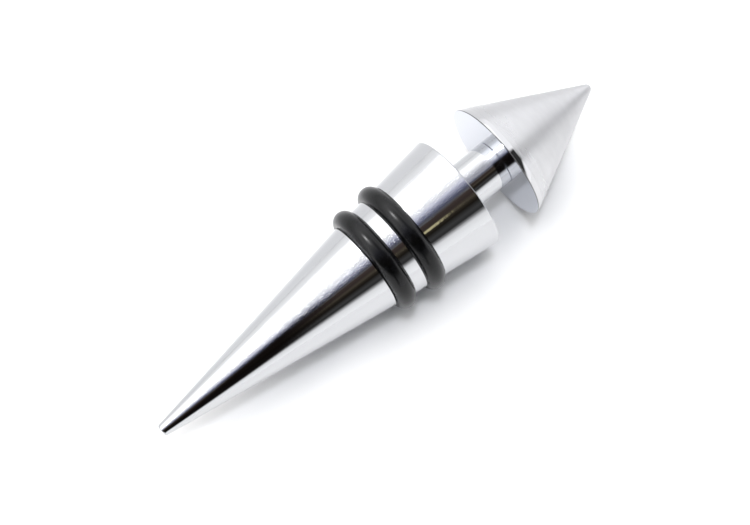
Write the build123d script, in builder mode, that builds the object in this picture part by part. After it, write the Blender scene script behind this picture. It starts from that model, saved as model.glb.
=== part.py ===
"""Tapered bottle stopper with two seal rings and a screwed-on cone knob.

Millimetres. The stopper lies along +X, tip towards -X and knob towards +X, with +Z up.
The origin is on the axis, in the seat plane: the plane of a bottle's lip when the
stopper is pushed home, where the collar's taper is as wide as the bottle's bore.
"""

import os
from math import radians, sqrt, tan

from build123d import *

# Plug: one turned piece, a long tapered spike that widens into a collar.
bottle_bore = 18.5  # mouth of a standard wine bottle, and the collar's diameter in the seat plane
collar_height = 10.5  # seat plane to the collar's flat top
collar_half_angle = 7.3  # degrees
spike_length = 44.4  # centre of the lower ring to the tip
tip_diameter = 2.1
tip_edge_radius = 0.4
collar_edge_radius = 0.25

# Seal rings, round in section, each in a half-round groove.
ring_section = 3.5
upper_ring_drop = 1.8  # seat plane down to the centre of the upper ring
ring_pitch = 5.75  # centre to centre
lower_ring_diameter = 19.6  # outside, as fitted
upper_ring_diameter = 20.7
groove_clearance = 0.05  # all round a ring's section

# Stem sleeve, a plain spacer between the collar and the knob.
sleeve_length = 8.2
sleeve_diameter = 8.2
sleeve_edge_chamfer = 0.25
sleeve_bore_clearance = 0.08  # radial, around the stud

# Threaded stud, an M5 set screw drawn at its major diameter.
stud_diameter = 5.0
stud_length = 25.0
stud_in_plug = 7.0  # length of stud below the collar's top
stud_end_chamfer = 0.6
socket_across_flats = 2.5
socket_depth = 2.8
thread_clearance = 0.05  # radial, between the stud and a tapped hole
hole_run_out = 0.8  # empty length of a tapped hole past the end of the stud
drill_point_angle = 118.0  # degrees, included
hole_mouth_chamfer = 0.4

# Knob: a cone on a flat base.
knob_diameter = 22.0
knob_height = 22.2  # from the base to where the cone would come to a point
knob_rim_radius = 0.2
knob_apex_radius = 0.9

# Stations along the axis.
upper_ring_x = -upper_ring_drop
lower_ring_x = upper_ring_x - ring_pitch
tip_x = lower_ring_x - spike_length
collar_top_x = collar_height
knob_base_x = collar_top_x + sleeve_length
stud_low_x = collar_top_x - stud_in_plug
stud_high_x = stud_low_x + stud_length


def collar_radius(x):
    """Radius of the collar's taper at station x."""
    return bottle_bore / 2 + x * tan(radians(collar_half_angle))


def add_ring(x, outside_diameter, section, mode):
    """Revolve a round section about the X axis; section is its diameter."""
    with BuildSketch(Plane.XZ) as ring_profile:
        with Locations((x, (outside_diameter - ring_section) / 2)):
            Circle(section / 2)
    revolve(ring_profile.sketch, axis=Axis.X, mode=mode)


def cut_tapped_hole(mouth_x, end_x):
    """Cut a blind hole from mouth_x to past end_x, with a drill point and a chamfered mouth."""
    toward = 1 if end_x > mouth_x else -1
    radius = stud_diameter / 2 + thread_clearance
    floor_x = end_x + toward * hole_run_out
    point_x = floor_x + toward * radius / tan(radians(drill_point_angle / 2))
    with BuildSketch(Plane.XZ) as hole_profile:
        with BuildLine():
            Polyline(
                (mouth_x, 0),
                (mouth_x, radius + hole_mouth_chamfer),
                (mouth_x + toward * hole_mouth_chamfer, radius),
                (floor_x, radius),
                (point_x, 0),
                close=True,
            )
        make_face()
    revolve(hole_profile.sketch, axis=Axis.X, mode=Mode.SUBTRACT)


with BuildPart() as stopper_plug:
    with BuildSketch(Plane.XZ):
        with BuildLine():
            Polyline(
                (tip_x, 0),
                (tip_x, tip_diameter / 2),
                (lower_ring_x, collar_radius(lower_ring_x)),
                (collar_top_x, collar_radius(collar_top_x)),
                (collar_top_x, 0),
                close=True,
            )
        make_face()
    revolve(axis=Axis.X)
    outer_edges = stopper_plug.edges().filter_by(GeomType.CIRCLE).sort_by(Axis.X)
    fillet(outer_edges[0], tip_edge_radius)
    fillet(outer_edges[-1], collar_edge_radius)
    groove_section = ring_section + 2 * groove_clearance
    add_ring(lower_ring_x, lower_ring_diameter, groove_section, Mode.SUBTRACT)
    add_ring(upper_ring_x, upper_ring_diameter, groove_section, Mode.SUBTRACT)
    cut_tapped_hole(collar_top_x, stud_low_x)
stopper_plug.part.label = "stopper_plug"

with BuildPart() as lower_seal_ring:
    add_ring(lower_ring_x, lower_ring_diameter, ring_section, Mode.ADD)
lower_seal_ring.part.label = "lower_seal_ring"

with BuildPart() as upper_seal_ring:
    add_ring(upper_ring_x, upper_ring_diameter, ring_section, Mode.ADD)
upper_seal_ring.part.label = "upper_seal_ring"

with BuildPart() as stem_sleeve:
    with BuildSketch(Plane.YZ.offset(collar_top_x)):
        Circle(sleeve_diameter / 2)
        Circle(stud_diameter / 2 + sleeve_bore_clearance, mode=Mode.SUBTRACT)
    extrude(amount=sleeve_length)
    sleeve_wall = stem_sleeve.faces().filter_by(GeomType.CYLINDER).sort_by(SortBy.AREA)[-1]
    chamfer(sleeve_wall.edges().filter_by(GeomType.CIRCLE), sleeve_edge_chamfer)
stem_sleeve.part.label = "stem_sleeve"

with BuildPart() as threaded_stud:
    with BuildSketch(Plane.YZ.offset(stud_low_x)):
        Circle(stud_diameter / 2)
    extrude(amount=stud_length)
    chamfer(threaded_stud.edges().filter_by(GeomType.CIRCLE), stud_end_chamfer)
    with BuildSketch(Plane.YZ.offset(stud_low_x)):
        RegularPolygon(socket_across_flats / 2, 6, major_radius=False)
    extrude(amount=socket_depth, mode=Mode.SUBTRACT)
threaded_stud.part.label = "threaded_stud"

with BuildPart() as knob:
    knob_slope = knob_diameter / 2 / knob_height
    apex_centre_x = knob_base_x + knob_height - knob_apex_radius * sqrt(1 + knob_slope**2) / knob_slope
    cone_end_x = apex_centre_x + knob_apex_radius * knob_slope / sqrt(1 + knob_slope**2)
    cone_end_radius = knob_apex_radius / sqrt(1 + knob_slope**2)
    with BuildSketch(Plane.XZ):
        with BuildLine():
            Line((apex_centre_x + knob_apex_radius, 0), (knob_base_x, 0))
            Line((knob_base_x, 0), (knob_base_x, knob_diameter / 2))
            cone_line = Line((knob_base_x, knob_diameter / 2), (cone_end_x, cone_end_radius))
            TangentArc(cone_line @ 1, (apex_centre_x + knob_apex_radius, 0), tangent=cone_line % 1)
        make_face()
    revolve(axis=Axis.X)
    fillet(knob.edges().filter_by(GeomType.CIRCLE).sort_by(Axis.X)[0], knob_rim_radius)
    cut_tapped_hole(knob_base_x, stud_high_x)
knob.part.label = "knob"

os.makedirs("parts", exist_ok=True)
for piece in (stopper_plug, lower_seal_ring, upper_seal_ring, stem_sleeve, threaded_stud, knob):
    export_step(piece.part, f"parts/{piece.part.label}.step")
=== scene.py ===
"""Looks of a tapered chrome bottle stopper with two seal rings and a brushed cone knob.

The stopper lies along +X with its knob towards +X. Every piece is a surface turned about
the X axis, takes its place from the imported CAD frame, and rides on its CAD body. Lengths
are in metres. In the studio, a light tent and a round key light show in reflections, and
three soft suns light the pale floor and the rubber.
"""

import logging
import math
from dataclasses import dataclass
from enum import Enum

import bpy
import numpy as np
from mathutils import Matrix, Vector


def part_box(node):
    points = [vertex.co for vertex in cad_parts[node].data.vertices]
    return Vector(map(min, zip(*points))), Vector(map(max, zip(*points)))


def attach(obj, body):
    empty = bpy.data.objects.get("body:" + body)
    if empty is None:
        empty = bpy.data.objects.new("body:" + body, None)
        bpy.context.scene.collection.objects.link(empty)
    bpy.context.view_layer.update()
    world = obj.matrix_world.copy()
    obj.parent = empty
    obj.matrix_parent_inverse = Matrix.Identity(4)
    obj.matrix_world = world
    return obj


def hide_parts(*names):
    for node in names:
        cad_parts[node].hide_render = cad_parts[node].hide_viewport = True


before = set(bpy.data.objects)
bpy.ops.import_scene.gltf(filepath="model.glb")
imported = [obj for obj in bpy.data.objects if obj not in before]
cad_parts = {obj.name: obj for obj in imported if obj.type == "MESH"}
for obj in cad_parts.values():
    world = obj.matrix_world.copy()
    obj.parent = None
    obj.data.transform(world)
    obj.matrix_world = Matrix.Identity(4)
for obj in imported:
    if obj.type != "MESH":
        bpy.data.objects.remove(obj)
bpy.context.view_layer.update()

MM = 0.001
TINY = 1e-9
logging.basicConfig(level=logging.INFO, format="%(name)s: %(message)s")
log = logging.getLogger("stopper")

# A Mix node's colour sockets, by number because its other sockets have the same names.
MIX_LOW = 6
MIX_HIGH = 7
MIX_RESULT = 2

Triple = tuple[float, float, float]
Point = tuple[float, float]
Span = tuple[float, float]


class Body(Enum):
    """CAD bodies that the pieces ride on."""

    PLUG = "plug"
    SLEEVE = "sleeve"
    KNOB = "knob"


class Slot(Enum):
    """Material slots of the record."""

    CHROME = "polished_chrome"
    RUBBER = "seal_rubber"
    STUD = "stud_steel"
    KNOB = "brushed_knob"


class Hue(Enum):
    """Colours of the light in the tent."""

    WHITE = (0.985, 0.99, 1.0)
    VIOLET = (0.82, 0.84, 1.0)
    SLATE = (0.62, 0.66, 1.0)
    WARM = (1.0, 0.84, 0.62)
    BROWN = (1.0, 0.74, 0.66)


# ---------------------------------------------------------------- node tools


class Signal:
    """A number that varies over a surface. Arithmetic on it adds Math nodes."""

    def __init__(self, sheet: "NodeSheet", socket: bpy.types.NodeSocket) -> None:
        """Wrap an output socket of the sheet's tree."""
        self.sheet = sheet
        self.socket = socket

    def _math(self, operation: str, *values: "Signal | float") -> "Signal":
        """One Math node on the given values, in order."""
        made = self.sheet.node("ShaderNodeMath", {"operation": operation}, dict(enumerate(values)))
        return Signal(self.sheet, made.outputs[0])

    def __add__(self, other: "Signal | float") -> "Signal":
        """self + other."""
        return self._math("ADD", self, other)

    def __sub__(self, other: "Signal | float") -> "Signal":
        """self - other."""
        return self._math("SUBTRACT", self, other)

    def __rsub__(self, other: float) -> "Signal":
        """other - self."""
        return self._math("SUBTRACT", other, self)

    def __mul__(self, other: "Signal | float") -> "Signal":
        """self * other."""
        return self._math("MULTIPLY", self, other)

    def __truediv__(self, other: "Signal | float") -> "Signal":
        """self / other."""
        return self._math("DIVIDE", self, other)

    def __rtruediv__(self, other: float) -> "Signal":
        """other / self."""
        return self._math("DIVIDE", other, self)

    __radd__ = __add__
    __rmul__ = __mul__

    def root(self) -> "Signal":
        """Square root."""
        return self._math("SQRT", self)

    def angle_from(self, other: "Signal") -> "Signal":
        """atan2(self, other), in radians."""
        return self._math("ARCTAN2", self, other)

    def smooth(self, none: float, full: float) -> "Signal":
        """A smooth step from 0 to 1.

        Args:
            none: the value where the step is 0, as it is beyond.
            full: the value where the step is 1, as it is beyond. It may be the smaller one.

        Returns:
            The step.
        """
        values = {
            "Value": self,
            "From Min": min(none, full),
            "From Max": max(none, full),
            "To Min": float(none > full),
            "To Max": float(none <= full),
        }
        made = self.sheet.node("ShaderNodeMapRange", {"interpolation_type": "SMOOTHSTEP"}, values)
        return Signal(self.sheet, made.outputs[0])


class NodeSheet:
    """Builds the node tree of one material or world."""

    def __init__(self, owner: bpy.types.ID) -> None:
        """Empty the owner's node tree, ready for new nodes.

        Args:
            owner: a material or a world.
        """
        owner.use_nodes = True
        self.tree = owner.node_tree
        self.tree.nodes.clear()

    def node(self, kind: str, settings: dict | None = None, inputs: dict | None = None) -> bpy.types.Node:
        """Add a node.

        Args:
            kind: the node's type name.
            settings: properties, set first. "stops" holds a ramp's (place, colour) pairs.
            inputs: socket name or number to a value, a Signal or a socket.

        Returns:
            The new node.
        """
        made = self.tree.nodes.new(kind)
        for name, value in (settings or {}).items():
            if name == "stops":
                self._set_stops(made.color_ramp, value)
            else:
                setattr(made, name, value)
        for name, value in (inputs or {}).items():
            if isinstance(value, Signal):
                value = value.socket
            if isinstance(value, bpy.types.NodeSocket):
                self.tree.links.new(value, made.inputs[name])
            else:
                made.inputs[name].default_value = value
        return made

    @staticmethod
    def _set_stops(ramp: bpy.types.ColorRamp, stops: list[tuple[float, Triple]]) -> None:
        """Give a ramp its stops.

        Args:
            ramp: the ramp of a new node.
            stops: (place, colour) pairs in order of place.
        """
        while len(ramp.elements) < len(stops):
            ramp.elements.new(1.0)
        for element, (place, colour) in zip(ramp.elements, stops):
            element.position = place
            element.color = (*colour, 1.0)

    def axes(self, output: str) -> tuple[Signal, Signal, Signal]:
        """Split one output of Texture Coordinate.

        Args:
            output: the output's name.

        Returns:
            Its x, y and z.
        """
        coordinates = self.node("ShaderNodeTexCoord")
        parts = self.node("ShaderNodeSeparateXYZ", inputs={0: coordinates.outputs[output]})
        return tuple(Signal(self, parts.outputs[k]) for k in range(3))

    def place(self) -> tuple[Signal, Signal, Signal]:
        """The point on the piece, as x, y and z in the shared frame at rest."""
        return self.axes("Object")

    def vector(self, x: "Signal | float", y: "Signal | float", z: "Signal | float") -> bpy.types.NodeSocket:
        """A vector with these three components."""
        return self.node("ShaderNodeCombineXYZ", inputs={0: x, 1: y, 2: z}).outputs[0]

    def noise(self, where: bpy.types.NodeSocket, size: float = 1.0, detail: float = 2.0) -> Signal:
        """Soft noise from 0 to 1 with features of about the given size."""
        made = self.node("ShaderNodeTexNoise", inputs={"Vector": where, "Scale": 1 / size, "Detail": detail})
        return Signal(self, made.outputs[0])

    def blend(self, share: Signal, low: Triple, high: Triple) -> bpy.types.NodeSocket:
        """The colour low where share is 0 and high where it is 1."""
        ramp = {"stops": [(0.0, low), (1.0, high)]}
        return self.node("ShaderNodeValToRGB", ramp, {0: share}).outputs[0]

    def mix(self, share: Signal, low: bpy.types.NodeSocket, high: Triple) -> bpy.types.NodeSocket:
        """The socket's colour where share is 0, and the colour high where it is 1."""
        values = {0: share, MIX_LOW: low, MIX_HIGH: (*high, 1.0)}
        return self.node("ShaderNodeMix", {"data_type": "RGBA"}, values).outputs[MIX_RESULT]

    def bump(self, height: Signal) -> bpy.types.NodeSocket:
        """A normal tilted by a height in metres."""
        made = self.node("ShaderNodeBump", inputs={"Strength": 1.0, "Distance": 1.0, "Height": height})
        return made.outputs[0]

    def close(self, shader: bpy.types.Node, output: str = "ShaderNodeOutputMaterial") -> None:
        """Link the shader to the tree's output."""
        self.node(output, inputs={"Surface": shader.outputs[0]})


def round_the_axis(sheet: NodeSheet) -> tuple[Signal, Signal, Signal, Signal]:
    """Cylindrical place about the X axis.

    Args:
        sheet: the material's sheet.

    Returns:
        x, the distance from the axis, and that direction's share of y and of z.
    """
    x, y, z = sheet.place()
    radius = (y * y + z * z + TINY**2).root()
    return x, radius, y / radius, z / radius


# ---------------------------------------------------------------- finishes


@dataclass(frozen=True)
class Chrome:
    """Polished chrome plate over turned metal, with ripple, turning lines, haze and scuffs.

    The scuffs are fine pits on the side that lies uppermost, and most of them are where the
    rings are pushed on. A Span gives where an effect starts and where it is full.
    """

    tint: Triple = (0.545, 0.55, 0.563)
    roughness: float = 0.035
    haze: float = 0.05
    smudge_size: float = 9.0 * MM
    smudged: Span = (0.45, 0.75)
    ripple_size: float = 0.45 * MM
    ripple_depth: float = 0.0016 * MM
    line_pitch: float = 0.12 * MM
    line_depth: float = 0.0002 * MM
    pit_size: float = 0.22 * MM
    pit_depth: float = 0.012 * MM
    pitted: Span = (0.50, 0.60)
    uppermost: Span = (0.972, 0.99)
    below_rings: Span = (-32.0 * MM, -16.0 * MM)
    above_rings: Span = (0.0, -3.0 * MM)
    pits_elsewhere: float = 0.4

    def material(self) -> bpy.types.Material:
        """Make the material.

        The height is ripple, plus pits, plus lines. Ripple is even noise, lines are noise
        along x only, and pits are where another noise passes a limit.

        Returns:
            The material.
        """
        made = bpy.data.materials.new("polished_chrome")
        sheet = NodeSheet(made)
        x, _, across, up = round_the_axis(sheet)
        where = sheet.vector(*sheet.place())
        ripple = sheet.noise(where, self.ripple_size, detail=1.5)
        lines = sheet.noise(sheet.vector(x / self.line_pitch, across, up), detail=1.0)
        pits = sheet.noise(where, self.pit_size, detail=1.0).smooth(*self.pitted)
        by_rings = x.smooth(*self.below_rings) * x.smooth(*self.above_rings)
        worn = up.smooth(*self.uppermost) * (self.pits_elsewhere + by_rings * (1 - self.pits_elsewhere))
        height = ripple * self.ripple_depth + pits * worn * self.pit_depth + lines * self.line_depth
        smudge = sheet.noise(where, self.smudge_size, detail=4.0).smooth(*self.smudged)
        shader = sheet.node(
            "ShaderNodeBsdfPrincipled",
            inputs={
                "Base Color": (*self.tint, 1.0),
                "Metallic": 1.0,
                "Roughness": self.roughness + smudge * self.haze,
                "Normal": sheet.bump(height),
            },
        )
        sheet.close(shader)
        return made


@dataclass(frozen=True)
class BrushedCone:
    """Satin metal brushed round the cone, with a polished base and a polished band at the rim.
    The base is tinted lighter and bluer than the cone: painted reflection, which lifts the
    shaded floor that the base mirrors.

    Places are measured along X from the base. The satin gets duller away from the base, and
    a thin dark line is painted into the colour round the rim, just past the base.
    """

    base_x: float
    band: float
    tint: Triple = (0.575, 0.575, 0.585)
    # Painted reflection: the base's metal colour, lighter and bluer than the cone's tint.
    painted_base_tint: Triple = (0.61, 0.63, 0.68)
    edge_tint: Triple = (0.115, 0.115, 0.117)
    polish: float = 0.045
    satin: float = 0.20
    satin_gain: float = 0.2
    satin_spread: float = 0.1
    satin_reach: float = 12.0 * MM
    satin_edge: float = 0.06 * MM
    streak: float = 0.12
    streak_pitch: float = 0.9 * MM
    streaks_around: float = 2.0
    line_pitch: float = 0.2 * MM
    lines_around: float = 5.0
    line_depth: float = 0.012 * MM
    line_start: float = 0.6
    edge_starts: Span = (0.01 * MM, 0.03 * MM)
    edge_ends: Span = (0.22 * MM, 0.12 * MM)

    def material(self) -> bpy.types.Material:
        """Make the material.

        Brush lines and broader streaks are both noise that is fine along x and long round
        the axis. Lines change the height, and streaks the colour and the roughness.

        Returns:
            The material.
        """
        made = bpy.data.materials.new("brushed_knob")
        sheet = NodeSheet(made)
        above = sheet.place()[0] - self.base_x
        base = above.smooth(*self.edge_starts[::-1])
        # A thin dark line in the colour round the rim, just past the base.
        edge = above.smooth(*self.edge_starts) * above.smooth(*self.edge_ends)
        satin = above.smooth(self.band - self.satin_edge, self.band + self.satin_edge)
        upward = above.smooth(0.0, self.satin_reach)
        lines = self.brushed(sheet, self.line_pitch, self.lines_around, detail=3.0)
        streaks = self.brushed(sheet, self.streak_pitch, self.streaks_around, detail=2.0)
        worked = self.satin + self.satin_gain * upward + self.satin_spread * (streaks - 0.5)
        colour = sheet.blend(streaks * satin * self.streak + edge, self.tint, self.edge_tint)
        shader = sheet.node(
            "ShaderNodeBsdfPrincipled",
            inputs={
                # The base takes the lighter, bluer tint of painted reflection.
                "Base Color": sheet.mix(base, colour, self.painted_base_tint),
                "Metallic": 1.0,
                "Roughness": self.polish + satin * worked,
                "Normal": sheet.bump(lines * satin * (upward + self.line_start) * self.line_depth),
            },
        )
        sheet.close(shader)
        return made

    @staticmethod
    def brushed(sheet: NodeSheet, pitch: float, around: float, detail: float) -> Signal:
        """Noise in long strokes round the axis: it reads x over the pitch, and the direction.

        Args:
            sheet: the material's sheet.
            pitch: the strokes' width along x.
            around: how many times the direction is scaled up. More gives shorter strokes.
            detail: the noise's detail.

        Returns:
            The noise, from 0 to 1.
        """
        x, _, across, up = round_the_axis(sheet)
        return sheet.noise(sheet.vector(x / pitch, across * around, up * around), detail=detail)


@dataclass(frozen=True)
class Rubber:
    """Smooth moulded black rubber with a faint grain and a little bloom."""

    colour: Triple = (0.0010, 0.0010, 0.0011)
    bloom: Triple = (0.0035, 0.0036, 0.0045)
    bloom_size: float = 1.6 * MM
    bloomed: Span = (0.42, 0.72)
    bloom_dulls: float = 0.08
    roughness: float = 0.21
    ior: float = 1.34
    grain_size: float = 0.10 * MM
    grain_depth: float = 0.0016 * MM
    grain_dulls: float = 0.05

    def material(self) -> bpy.types.Material:
        """Make the material. Bloom is broad noise that greys and dulls, and grain is fine noise.

        Returns:
            The material.
        """
        made = bpy.data.materials.new("seal_rubber")
        sheet = NodeSheet(made)
        where = sheet.vector(*sheet.place())
        bloom = sheet.noise(where, self.bloom_size, detail=5.0).smooth(*self.bloomed)
        grain = sheet.noise(where, self.grain_size, detail=2.0)
        shader = sheet.node(
            "ShaderNodeBsdfPrincipled",
            inputs={
                "Base Color": sheet.blend(bloom, self.colour, self.bloom),
                "Roughness": self.roughness + self.bloom_dulls * bloom + self.grain_dulls * (grain - 0.5),
                "IOR": self.ior,
                "Normal": sheet.bump(grain * self.grain_depth),
            },
        )
        sheet.close(shader)
        return made


@dataclass(frozen=True)
class ThreadSteel:
    """Plain rolled steel, brighter and smoother on the thread's crests than in its root."""

    crest_radius: float
    depth: float
    crest: Triple = (0.58, 0.57, 0.56)
    root: Triple = (0.22, 0.21, 0.20)
    roughness: float = 0.42
    crest_polish: float = 0.14
    grain_size: float = 0.25 * MM
    grain_depth: float = 0.004 * MM
    grain_dulls: float = 0.2

    def material(self) -> bpy.types.Material:
        """Make the material. Colour and roughness follow the distance from the axis.

        Returns:
            The material.
        """
        made = bpy.data.materials.new("stud_steel")
        sheet = NodeSheet(made)
        _, radius, _, _ = round_the_axis(sheet)
        high = radius.smooth(self.crest_radius - self.depth, self.crest_radius)
        grain = sheet.noise(sheet.vector(*sheet.place()), self.grain_size, detail=3.0)
        shader = sheet.node(
            "ShaderNodeBsdfPrincipled",
            inputs={
                "Base Color": sheet.blend(high, self.root, self.crest),
                "Metallic": 1.0,
                "Roughness": self.roughness - self.crest_polish * high + self.grain_dulls * (grain - 0.5),
                "Normal": sheet.bump(grain * self.grain_depth),
            },
        )
        sheet.close(shader)
        return made


# ---------------------------------------------------------------- outlines and turning


def run(start: Point, end: Point, points: int = 20) -> np.ndarray:
    """Points of a straight run, crowded towards both ends: share = (1 - cos(pi t)) / 2.

    The crowding keeps a flat run flat where a tight radius meets it.

    Args:
        start: its first point.
        end: its last point.
        points: how many points it has, both ends included.

    Returns:
        The points as an (n, 2) array.
    """
    share = (1 - np.cos(np.pi * np.linspace(0, 1, points))) / 2
    return np.asarray(start) + share[:, None] * (np.asarray(end) - np.asarray(start))


def bend(centre: Point, radius: float, start: float, end: float, points: int = 14) -> np.ndarray:
    """Points of an arc: centre + radius (cos a, sin a), for a evenly spaced from start to end.

    Args:
        centre: the arc's centre.
        radius: its radius.
        start: the angle of its first point, from the X axis, in radians.
        end: the angle of its last point.
        points: how many points it has, both ends included.

    Returns:
        The points as an (n, 2) array.
    """
    a = np.linspace(start, end, points)
    return np.asarray(centre) + radius * np.stack([np.cos(a), np.sin(a)], axis=1)


def joined(*parts: np.ndarray) -> np.ndarray:
    """The parts end to end.

    Args:
        parts: arrays of (n, 2) points.

    Returns:
        The points as one (n, 2) array, without repeated points.
    """
    path = np.concatenate(parts)
    step = np.linalg.norm(np.diff(path, axis=0), axis=1)
    return path[np.concatenate([[True], step > TINY])]


def outline(corners: list[Point], radii: dict[int, float] | None = None) -> np.ndarray:
    """Polyline through the corners, with some of them rounded.

    A corner's arc touches both its runs: with t the half angle between them, it starts
    radius / tan(t) from the corner, and its centre is radius / sin(t) from it.

    Args:
        corners: (x, radius) points.
        radii: corner number to the radius of its round.

    Returns:
        The points as an (n, 2) array, without doubles.
    """
    radii = radii or {}
    p = np.asarray(corners, float)
    parts, here = [], p[0]
    for k in range(1, len(p)):
        if k in radii:
            back, ahead = p[k - 1] - p[k], p[k + 1] - p[k]
            back, ahead = back / np.linalg.norm(back), ahead / np.linalg.norm(ahead)
            half = math.acos(float(np.clip(back @ ahead, -1, 1))) / 2
            centre = p[k] + (back + ahead) / np.linalg.norm(back + ahead) * radii[k] / math.sin(half)
            enter, leave = (p[k] + side * radii[k] / math.tan(half) for side in (back, ahead))
            first = math.atan2(*(enter - centre)[::-1])
            turn = math.atan2(*(leave - centre)[::-1]) - first
            turn = (turn + math.pi) % (2 * math.pi) - math.pi
            parts += [run(here, enter), bend(centre, radii[k], first, first + turn)]
            here = leave
        else:
            parts.append(run(here, p[k]))
            here = p[k]
    return joined(*parts)


def crossing(line: tuple[Point, Point], centre: Point, radius: float, side: int) -> Point:
    """Where a line cuts a circle.

    The line is a + s d with unit d, so s solves s^2 + 2 s d.(a - c) + |a - c|^2 = r^2.

    Args:
        line: two points of the line.
        centre: the circle's centre.
        radius: its radius.
        side: -1 for the first crossing, 1 for the second.

    Returns:
        The crossing point.
    """
    a, b, c = (np.asarray(v, float) for v in (*line, centre))
    d = (b - a) / np.linalg.norm(b - a)
    half = d @ (a - c)
    s = -half + side * math.sqrt(half**2 - (a - c) @ (a - c) + radius**2)
    return tuple(a + s * d)


def turned(name: str, path: np.ndarray, steps: int = 288, closed: bool = False) -> bpy.types.Object:
    """Turn an outline about the X axis.

    Point (i, j) is (x_i, r_i cos b_j, r_i sin b_j), with b_j = 2 pi j / steps. An open
    outline starts and ends on the axis, and each of its ends becomes one pole.

    Args:
        name: the piece's name.
        path: (x, radius) points, or with a third axis (points, steps, 2) where the
            outline changes round the axis.
        steps: points round the axis.
        closed: whether the outline's end joins its start.

    Returns:
        The new object, at the origin.
    """
    grid = path if path.ndim == 3 else np.repeat(path[:, None, :], steps, axis=1)
    poles = [] if closed else [grid[0, 0, 0], grid[-1, 0, 0]]
    grid = grid if closed else grid[1:-1]
    rows = len(grid)
    b = 2 * np.pi * np.arange(steps) / steps
    x, r = grid[..., 0], grid[..., 1]
    points = np.stack([x, r * np.cos(b), r * np.sin(b)], axis=-1).reshape(-1, 3)
    points = np.concatenate([points, [(p, 0.0, 0.0) for p in poles]]) if poles else points
    i = np.arange(rows if closed else rows - 1)[:, None] * steps
    j = np.arange(steps)[None, :]
    k, up = (j + 1) % steps, (i + steps) % (rows * steps)
    faces = [np.stack([i + j, i + k, up + k, up + j], axis=-1).reshape(-1, 4)]
    if poles:
        first, last, top = rows * steps, rows * steps + 1, (rows - 1) * steps
        around, after = j[0], k[0]
        faces.append(np.stack([np.full(steps, first), after, around], axis=-1))
        faces.append(np.stack([np.full(steps, last), top + around, top + after], axis=-1))
    return mesh_object(name, points, faces)


def mesh_object(name: str, points: np.ndarray, faces: list[np.ndarray]) -> bpy.types.Object:
    """Make a smooth-shaded object and log it.

    Args:
        name: the object's name.
        points: its points as an (n, 3) array.
        faces: arrays of faces, each array with its own number of corners.

    Returns:
        The new object, at the origin.
    """
    corners = np.concatenate([f.reshape(-1) for f in faces]).astype(np.int32)
    counts = np.concatenate([np.full(len(f), f.shape[1]) for f in faces]).astype(np.int32)
    mesh = bpy.data.meshes.new(name)
    mesh.vertices.add(len(points))
    mesh.vertices.foreach_set("co", points.astype(np.float32).ravel())
    mesh.loops.add(len(corners))
    mesh.loops.foreach_set("vertex_index", corners)
    mesh.polygons.add(len(counts))
    mesh.polygons.foreach_set("loop_start", (np.cumsum(counts) - counts).astype(np.int32))
    mesh.update(calc_edges=True)
    mesh.validate()
    mesh.shade_smooth()
    made = bpy.data.objects.new(name, mesh)
    bpy.context.scene.collection.objects.link(made)
    log.info("%s has %d points and %d faces", name, len(points), len(counts))
    return made


def dress(piece: bpy.types.Object, finish: bpy.types.Material, body: Body, node: str) -> None:
    """Give a piece its finish, and let it stand for its CAD node.

    Args:
        piece: the piece.
        finish: its material.
        body: the body it rides on.
        node: the CAD node it replaces.
    """
    piece.data.materials.append(finish)
    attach(piece, body.value)
    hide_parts(node)


# ---------------------------------------------------------------- sub-assemblies


@dataclass
class TappedHole:
    """A blind tapped hole on the axis, from its mouth in a flat face to its drill point."""

    mouth_x: float
    toward: int
    depth: float
    radius: float = 2.55 * MM
    mouth_chamfer: float = 0.4 * MM
    drill_half_angle: float = math.radians(59)

    def outline(self) -> np.ndarray:
        """Outline from the mouth's outer edge down to the drill point on the axis.

        Returns:
            The (x, radius) points.
        """
        floor = self.mouth_x + self.toward * self.depth
        point = floor + self.toward * self.radius / math.tan(self.drill_half_angle)
        inner = self.mouth_x + self.toward * self.mouth_chamfer
        mouth = (self.mouth_x, self.radius + self.mouth_chamfer)
        return outline([mouth, (inner, self.radius), (floor, self.radius), (point, 0.0)])


@dataclass
class SealRing:
    """A round rubber ring that reads its size and place from its CAD node."""

    node: str
    points: int = 73

    def __post_init__(self) -> None:
        """Work out the ring's centre circle and section."""
        low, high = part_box(self.node)
        self.section = (high.x - low.x) / 2
        self.x = (high.x + low.x) / 2
        self.radius = high.z - self.section

    def build(self, finish: bpy.types.Material) -> None:
        """Turn a torus: its outline is the full circle of the section.

        Args:
            finish: the rubber.
        """
        path = bend((self.x, self.radius), self.section, math.pi, -math.pi, self.points)[:-1]
        dress(turned(f"{self.node}_moulding", path, closed=True), finish, Body.PLUG, self.node)


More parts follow.
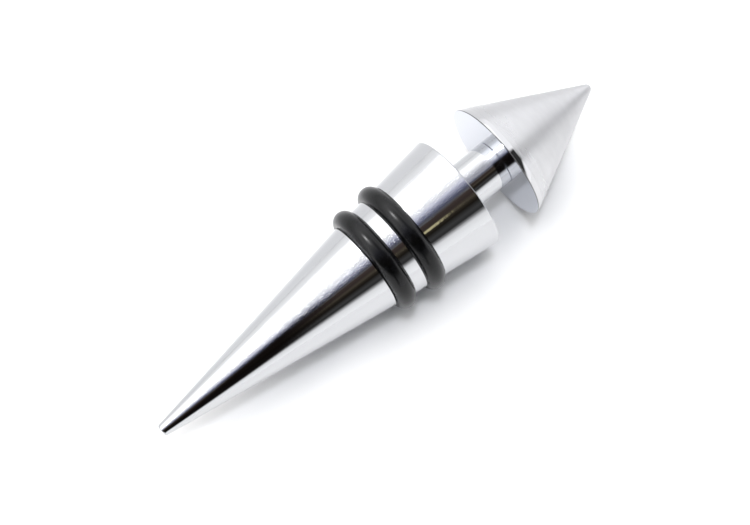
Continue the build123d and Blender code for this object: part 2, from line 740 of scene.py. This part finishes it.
@dataclass
class Plug:
    """The spike and collar, turned from one bar, with a groove for each ring."""

    lower: SealRing
    upper: SealRing
    node: str = "stopper_plug"
    tip_radius: float = 1.05 * MM
    tip_round: float = 0.4 * MM
    bore_radius: float = 9.25 * MM
    collar_slope: float = math.tan(math.radians(7.3))
    collar_round: float = 0.25 * MM
    groove_clearance: float = 0.05 * MM
    groove_points: int = 40
    stud_in_plug: float = 7.0 * MM
    hole_run_out: float = 0.8 * MM

    def collar_radius(self, x: float) -> float:
        """Radius of the collar's taper at x, where it is the bottle's bore at x = 0."""
        return self.bore_radius + x * self.collar_slope

    def build(self, finish: bpy.types.Material) -> None:
        """Turn the outline from the tip, over both grooves and the collar, into the tapped hole.

        Args:
            finish: the chrome.
        """
        low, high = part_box(self.node)
        tip, top = low.x, high.x
        knee = (self.lower.x, self.collar_radius(self.lower.x))
        shoulder = (top, self.collar_radius(top))
        spike, collar = ((tip, self.tip_radius), knee), (knee, shoulder)
        lower_groove = self.groove(self.lower, spike, collar)
        upper_groove = self.groove(self.upper, collar, collar)
        hole = TappedHole(top, -1, self.stud_in_plug + self.hole_run_out).outline()
        path = joined(
            outline([(tip, 0.0), (tip, self.tip_radius), tuple(lower_groove[0])], {1: self.tip_round}),
            lower_groove,
            run(lower_groove[-1], upper_groove[0]),
            upper_groove,
            outline([tuple(upper_groove[-1]), shoulder, tuple(hole[0])], {1: self.collar_round}),
            hole,
        )
        dress(turned("plug_turning", path), finish, Body.PLUG, self.node)

    def groove(
        self, ring: SealRing, before: tuple[Point, Point], after: tuple[Point, Point]
    ) -> np.ndarray:
        """A groove's outline, which is the arc of a circle round the ring's section.

        Args:
            ring: the ring that sits in it.
            before: the line of the surface on the tip's side.
            after: the line of the surface on the knob's side.

        Returns:
            The arc's points.
        """
        centre, radius = (ring.x, ring.radius), ring.section + self.groove_clearance
        start, end = crossing(before, centre, radius, -1), crossing(after, centre, radius, 1)
        first, last = (math.atan2(at[1] - centre[1], at[0] - centre[0]) for at in (start, end))
        return bend(centre, radius, first, first + (last - first) % (2 * math.pi), self.groove_points)


@dataclass
class StemSleeve:
    """The short polished tube between the collar and the knob."""

    node: str = "stem_sleeve"
    bore_radius: float = 2.58 * MM
    edge_chamfer: float = 0.08 * MM

    def build(self, finish: bpy.types.Material) -> None:
        """Turn the outline up the end, along the outside, down the other end and back in the bore.

        Args:
            finish: the chrome.
        """
        low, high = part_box(self.node)
        outer, c = high.z, self.edge_chamfer
        outside = [(low.x, outer - c), (low.x + c, outer), (high.x - c, outer), (high.x, outer - c)]
        bore = [(high.x, self.bore_radius), (low.x, self.bore_radius)]
        path = outline([bore[-1], *outside, *bore])
        dress(turned("stem_tube", path[:-1], closed=True), finish, Body.SLEEVE, self.node)


@dataclass
class Stud:
    """A set screw with a real helical thread and a hex socket in its lower end.

    The thread's flat is the width of its crest, and of its root, as a share of the pitch.
    """

    node: str = "threaded_stud"
    pitch: float = 0.8 * MM
    thread_depth: float = 0.45 * MM
    thread_flat: float = 0.1154
    end_chamfer: float = 0.6 * MM
    socket_half: float = 1.25 * MM
    socket_depth: float = 2.8 * MM
    socket_point: float = 0.5 * MM
    rows_per_turn: int = 16
    steps: int = 96

    def build(self, finish: bpy.types.Material) -> None:
        """Turn the socket, the end face, the thread and the other end face in one outline.

        The thread's radius at x and angle b is the major radius less depth times a flat-topped
        triangle wave of x / pitch - b / (2 pi), held inside a 45 degree cone at each end. The
        socket's radius is its half width over the cosine of the angle from the nearest flat.

        Args:
            finish: the steel.
        """
        low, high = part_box(self.node)
        b = 2 * np.pi * np.arange(self.steps) / self.steps
        x = np.linspace(low.x, high.x, round((high.x - low.x) / self.pitch * self.rows_per_turn))
        from_crest = np.abs((x[:, None] / self.pitch - b / (2 * np.pi)) % 1.0 - 0.5)
        wave = np.clip((from_crest - self.thread_flat / 2) / (0.5 - self.thread_flat), 0.0, 1.0)
        cone = high.z - self.end_chamfer + np.minimum(x - low.x, high.x - x)
        thread = np.minimum(high.z - self.thread_depth * wave, cone[:, None])
        hexagon = self.socket_half / np.cos((b + np.pi / 6) % (np.pi / 3) - np.pi / 6)
        socket_floor = low.x + self.socket_depth
        x = np.concatenate([[socket_floor + self.socket_point, socket_floor, low.x], x, [high.x]])
        radius = np.concatenate([[0 * b, hexagon, hexagon], thread, [0 * b]])
        path = np.stack([np.broadcast_to(x[:, None], radius.shape), radius], axis=-1)
        dress(turned("stud_thread", path, self.steps), finish, Body.KNOB, self.node)


@dataclass
class Knob:
    """The cone, with a flat polished base, a tapped hole, a polished band and a rounded point."""

    stud: Stud
    node: str = "knob"
    base_radius: float = 11.0 * MM
    cone_height: float = 22.2 * MM
    rim_round: float = 0.1 * MM
    band: float = 1.2 * MM
    band_lean: float = math.radians(11.5)
    point_points: int = 20
    hole_run_out: float = 0.8 * MM

    def __post_init__(self) -> None:
        """Read the base's place and the point's roundness from the CAD node."""
        low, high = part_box(self.node)
        self.base_x, self.point_x = low.x, high.x
        self.half_angle = math.atan(self.base_radius / self.cone_height)
        short = self.base_x + self.cone_height - self.point_x
        self.point_round = short / (1 / math.sin(self.half_angle) - 1)

    def build(self, finish: bpy.types.Material) -> None:
        """Turn the outline from the hole's drill point over base, rim and band, up to the point.

        The band is an arc that ends along the cone's side and starts at a steeper lean, so its
        radius is its length over the difference of the two leans' sines. The rim rounds the
        corner between the base and the start of the band.

        Args:
            finish: the brushed metal.
        """
        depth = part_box(self.stud.node)[1].x - self.base_x + self.hole_run_out
        hole = TappedHole(self.base_x, 1, depth).outline()[::-1]
        side, end = math.pi / 2 - self.half_angle, (self.point_x - self.point_round, 0.0)
        cap = bend(end, self.point_round, side, 0.0, self.point_points)
        bulge = self.band / (math.sin(self.half_angle) - math.sin(self.band_lean))
        top = (self.base_x + self.band, self.base_radius - self.band * math.tan(self.half_angle))
        middle = (top[0] - bulge * math.cos(side), top[1] - bulge * math.sin(side))
        band = bend(middle, bulge, math.pi / 2 - self.band_lean, side)
        rim = outline([tuple(hole[-1]), tuple(band[0]), tuple(band[1])], {1: self.rim_round})
        path = joined(hole, rim[:-1], band[2:], run(band[-1], cap[0]), cap)
        dress(turned("knob_turning", path), finish, Body.KNOB, self.node)


# ---------------------------------------------------------------- studio


@dataclass(frozen=True)
class Light:
    """Light that comes from one angle of the tent."""

    angle: float
    amount: float
    hue: Hue = Hue.WHITE


@dataclass(frozen=True)
class Patch:
    """A part of the tent that is hung with another cloth, with soft edges.

    Each Span says where the patch starts to show and where it is full: by x at its two ends,
    and by the angle about X at its two sides. A side may slant: its angles then fall by that
    many degrees for each unit of x past the pivot.
    """

    colour: Triple
    share: float = 1.0
    x_starts: Span | None = None
    x_ends: Span | None = None
    side_starts: Span | None = None
    side_ends: Span | None = None
    start_slant: float = 0.0
    end_slant: float = 0.0
    pivot: float = 0.0

    def mask(self, x: Signal, angle: Signal) -> Signal:
        """How much the patch shows: its share times the smooth step of each edge.

        Args:
            x: how far the direction leans towards +X.
            angle: the direction's angle about X, in degrees.

        Returns:
            A number from 0 to the patch's share.
        """
        edges = [x.smooth(*span) for span in (self.x_starts, self.x_ends) if span]
        for span, slant in ((self.side_starts, self.start_slant), (self.side_ends, self.end_slant)):
            if span:
                edges.append((angle + (x - self.pivot) * slant).smooth(*span))
        return math.prod(edges, start=self.share)


@dataclass(frozen=True)
class Tent:
    """The light tent round the stopper, open towards a dark room on the -Y side.

    Its light depends on the angle about X, from straight up and positive towards -Y, and
    on how far the direction leans towards +X. Its darker edge above the room is uneven.
    """

    lights: tuple[Light, ...] = (
        Light(-92, 1.05),
        Light(-80, 1.35),
        Light(-70, 1.45),
        Light(-64, 2.0),
        Light(-50, 2.5),
        Light(-20, 2.25),
        Light(-8, 1.4),
        Light(-2, 1.45, Hue.VIOLET),
        Light(2, 0.95, Hue.VIOLET),
        Light(6, 0.54, Hue.SLATE),
        Light(10, 0.22, Hue.SLATE),
        Light(14, 0.18, Hue.SLATE),
        Light(16.5, 0.19),
        Light(19, 0.08, Hue.BROWN),
        Light(26, 0.055, Hue.BROWN),
        Light(32, 0.09, Hue.WARM),
        Light(36, 0.04, Hue.WARM),
        Light(41, 0.015, Hue.WARM),
        Light(51, 0.07),
        Light(58, 0.04),
        Light(62.5, 0.32),
        Light(65, 0.68),
        Light(70, 1.25),
        Light(80, 1.45),
        Light(92, 1.55),
    )
    gold_strip: Patch = Patch(
        (0.80, 0.72, 0.42),
        x_starts=(-0.07, -0.062),
        x_ends=(-0.04, -0.056),
        side_starts=(29, 31.5),
        side_ends=(36, 33.5),
    )
    deep_room: Patch = Patch(
        (0.006, 0.0045, 0.004),
        share=0.95,
        x_starts=(-0.19, -0.23),
        side_starts=(-8, 14),
        side_ends=(76, 56),
        start_slant=320,
        end_slant=220,
        pivot=-0.234,
    )
    dull_top: Patch = Patch(
        (0.52, 0.53, 0.60),
        x_starts=(0.1, 0.2),
        x_ends=(0.6, 0.45),
        side_starts=(-58, -2),
        side_ends=(12, 6),
    )
    end_wall: Patch = Patch((1.51, 1.52, 1.55), x_starts=(0.6, 0.75))
    gap: Patch = Patch(
        (0.0, 0.0, 0.0),
        share=0.97,
        x_starts=(0.55, 0.65),
        x_ends=(0.92, 0.87),
        side_starts=(6, 16),
        side_ends=(84, 68),
        end_slant=80,
        pivot=0.6,
    )
    gap_edge: Patch = Patch(
        (0.0, 0.0, 0.0),
        share=0.25,
        x_starts=(0.86, 0.90),
        x_ends=(0.99, 0.96),
        side_starts=(6, 18),
        side_ends=(66, 48),
    )
    uneven: float = 26.0
    uneven_ends: Span = (24.0, 12.0)
    grain_along: float = 0.006
    grain_across: float = 4.0

    def build(self) -> None:
        """Make the tent the scene's world, which only mirroring surfaces see.

        The ramp's share is (angle - start) / (end - start), with noise added to the angle,
        and its colours are shares of the brightest light.
        """
        made = bpy.data.worlds.new("tent")
        bpy.context.scene.world = made
        made.cycles_visibility.diffuse = False
        sheet = NodeSheet(made)
        x, y, z = sheet.axes("Generated")
        angle = (0.0 - y).angle_from(z) * math.degrees(1)
        noise = sheet.noise(sheet.vector(x / self.grain_along, angle / self.grain_across, 0.0))
        moved = angle + (noise - 0.5) * angle.smooth(*self.uneven_ends) * self.uneven
        start, end = self.lights[0].angle, self.lights[-1].angle
        peak = max(light.amount for light in self.lights)
        stops = [
            ((at.angle - start) / (end - start), tuple(at.amount / peak * c for c in at.hue.value))
            for at in self.lights
        ]
        share = (moved - start) / (end - start)
        colour = sheet.node("ShaderNodeValToRGB", {"stops": stops}, {0: share}).outputs[0]
        patches = (self.gold_strip, self.deep_room, self.dull_top, self.end_wall, self.gap, self.gap_edge)
        for patch in patches:
            colour = sheet.mix(patch.mask(x, angle), colour, tuple(c / peak for c in patch.colour))
        shader = sheet.node("ShaderNodeBackground", inputs={"Color": colour, "Strength": peak})
        sheet.close(shader, "ShaderNodeOutputWorld")


@dataclass(frozen=True)
class KeyLight:
    """A round soft light that shows in reflections only, as a small bright spot on the rings.

    Its amount is its light per area and angle.
    """

    place: Triple = (-0.14, 0.31, 0.51)
    size: float = 0.15
    amount: float = 26.0

    def build(self) -> None:
        """Add it, aimed at the origin. Its power is its amount times pi times its area."""
        light = bpy.data.lights.new("key", "AREA")
        light.shape = "DISK"
        light.size = self.size
        light.energy = self.amount * math.pi * math.pi * self.size**2 / 4
        lamp = bpy.data.objects.new("key", light)
        bpy.context.scene.collection.objects.link(lamp)
        lamp.location = self.place
        lamp.rotation_euler = (-Vector(self.place)).to_track_quat("-Z", "Y").to_euler()
        lamp.visible_diffuse = False


@dataclass(frozen=True)
class SoftSun:
    """Light from above that reflections don't show.

    The lean is its angle about X from straight up, positive towards -Y. The spread is the
    angle that it fills. Both are in degrees.
    """

    name: str
    lean: float
    spread: float
    amount: float
    hue: Triple

    def build(self) -> None:
        """Add it, turned about X by its lean, with pi times its amount as its strength."""
        light = bpy.data.lights.new(self.name, "SUN")
        light.angle = math.radians(self.spread)
        light.energy = self.amount * math.pi
        light.color = self.hue
        lamp = bpy.data.objects.new(self.name, light)
        bpy.context.scene.collection.objects.link(lamp)
        lamp.rotation_euler = (math.radians(self.lean), 0.0, 0.0)
        lamp.visible_glossy = False


@dataclass(frozen=True)
class PaleFloor:
    """A white floor with painted shade: its colour greys towards +Y, which darkens what the metal mirrors on
    that side.
    """

    near: Triple = (0.93, 0.93, 0.935)
    # Painted shade: the colour towards +Y, greyer than the white near the stopper.
    painted_shade_far: Triple = (0.70, 0.70, 0.71)
    painted_shade_fades: Span = (-12.0 * MM, 34.0 * MM)
    roughness: float = 0.6
    gloss: float = 0.2
    radius: float = 3.0
    sides: int = 128

    def build(self, lean: float, place: Triple) -> None:
        """Make the floor as a fan of triangles, place it and give it its material.

        Args:
            lean: how far it falls towards +X, in radians.
            place: the place of its middle.
        """
        b = 2 * np.pi * np.arange(self.sides) / self.sides
        rim = self.radius * np.stack([np.cos(b), np.sin(b), 0 * b], axis=-1)
        points = np.concatenate([rim, np.zeros((1, 3))])
        j = np.arange(self.sides)
        fan = np.stack([np.full(self.sides, self.sides), j, (j + 1) % self.sides], axis=-1)
        floor = mesh_object("floor", points, [fan])
        floor.matrix_world = Matrix.Translation(place) @ Matrix.Rotation(lean, 4, "Y")
        floor.data.materials.append(self.material())

    def material(self) -> bpy.types.Material:
        """Make the material.

        Returns:
            The material.
        """
        made = bpy.data.materials.new("white_floor")
        sheet = NodeSheet(made)
        _, y, _ = sheet.place()
        shader = sheet.node(
            "ShaderNodeBsdfPrincipled",
            inputs={
                # Painted shade: the floor's colour greys towards +Y.
                "Base Color": sheet.blend(y.smooth(*self.painted_shade_fades), self.near, self.painted_shade_far),
                "Roughness": self.roughness,
                "Specular IOR Level": self.gloss,
            },
        )
        sheet.close(shader)
        return made


@dataclass(frozen=True)
class Camera:
    """A camera that looks at a point from an azimuth and an elevation in degrees, upright."""

    azimuth: float = -39.67
    elevation: float = 76.24
    distance: float = 263.4 * MM
    lens: float = 76.8
    sensor: float = 36.0
    nearest: float = 10.0 * MM

    def build(self, aim: Vector) -> None:
        """Add the camera and make it the scene's.

        Args:
            aim: the point in the middle of its view.
        """
        a, e = math.radians(self.azimuth), math.radians(self.elevation)
        back = Vector((math.sin(a) * math.cos(e), -math.cos(a) * math.cos(e), math.sin(e)))
        optics = bpy.data.cameras.new("camera")
        optics.lens = self.lens
        optics.sensor_width = self.sensor
        optics.clip_start = self.nearest
        camera = bpy.data.objects.new("camera", optics)
        bpy.context.scene.collection.objects.link(camera)
        camera.location = aim + back * self.distance
        camera.rotation_euler = (-back).to_track_quat("-Z", "Y").to_euler()
        bpy.context.scene.camera = camera


@dataclass(frozen=True)
class Studio:
    """The floor under the lying stopper, the tent, the lights and the camera."""

    lights: tuple[KeyLight | SoftSun, ...] = (
        KeyLight(),
        SoftSun("ceiling", -23.0, 80.0, 1.38, (1.0, 0.99, 0.97)),
        SoftSun("overhead", -1.0, 7.0, 0.26, (0.90, 0.93, 1.0)),
        SoftSun("fill", 0.0, 150.0, 0.09, (0.70, 0.82, 1.0)),
    )
    aim_past_ring: Triple = (-0.21 * MM, -0.41 * MM, -0.09 * MM)

    def build(self, lower: SealRing, upper: SealRing, knob: Knob) -> None:
        """Lay the floor, then add the tent, the lights and the camera.

        The floor touches the upper ring and the knob's rim from below. With v the vector
        from the rim to the ring section's centre, that line leans by the angle of v less
        asin(section / |v|).

        Args:
            lower: the lower ring, which the camera looks at.
            upper: the ring that the stopper lies on.
            knob: the knob, which lies on its rim.
        """
        bpy.context.scene.view_settings.view_transform = "Standard"
        Tent().build()
        rim_z = knob.rim_round - knob.base_radius
        v = Vector((upper.x - knob.base_x, -upper.radius - rim_z))
        lean = math.atan2(v.y, -v.x) - math.asin(upper.section / v.length)
        PaleFloor().build(lean, (knob.base_x, 0.0, rim_z))
        log.info("the floor leans %.2f degrees", math.degrees(lean))
        for light in self.lights:
            light.build()
        Camera().build(Vector((lower.x, 0.0, 0.0)) + Vector(self.aim_past_ring))


def main() -> None:
    """Build the stopper and its studio, and note the visual model's size."""
    chrome, rubber = Chrome().material(), Rubber().material()
    lower, upper = SealRing("lower_seal_ring"), SealRing("upper_seal_ring")
    stud = Stud()
    knob = Knob(stud)
    lower.build(rubber)
    upper.build(rubber)
    Plug(lower, upper).build(chrome)
    StemSleeve().build(chrome)
    stud.build(ThreadSteel(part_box(stud.node)[1].z, stud.thread_depth).material())
    knob.build(BrushedCone(knob.base_x, knob.band).material())
    Studio().build(lower, upper, knob)


if __name__ == "__main__":
    main()
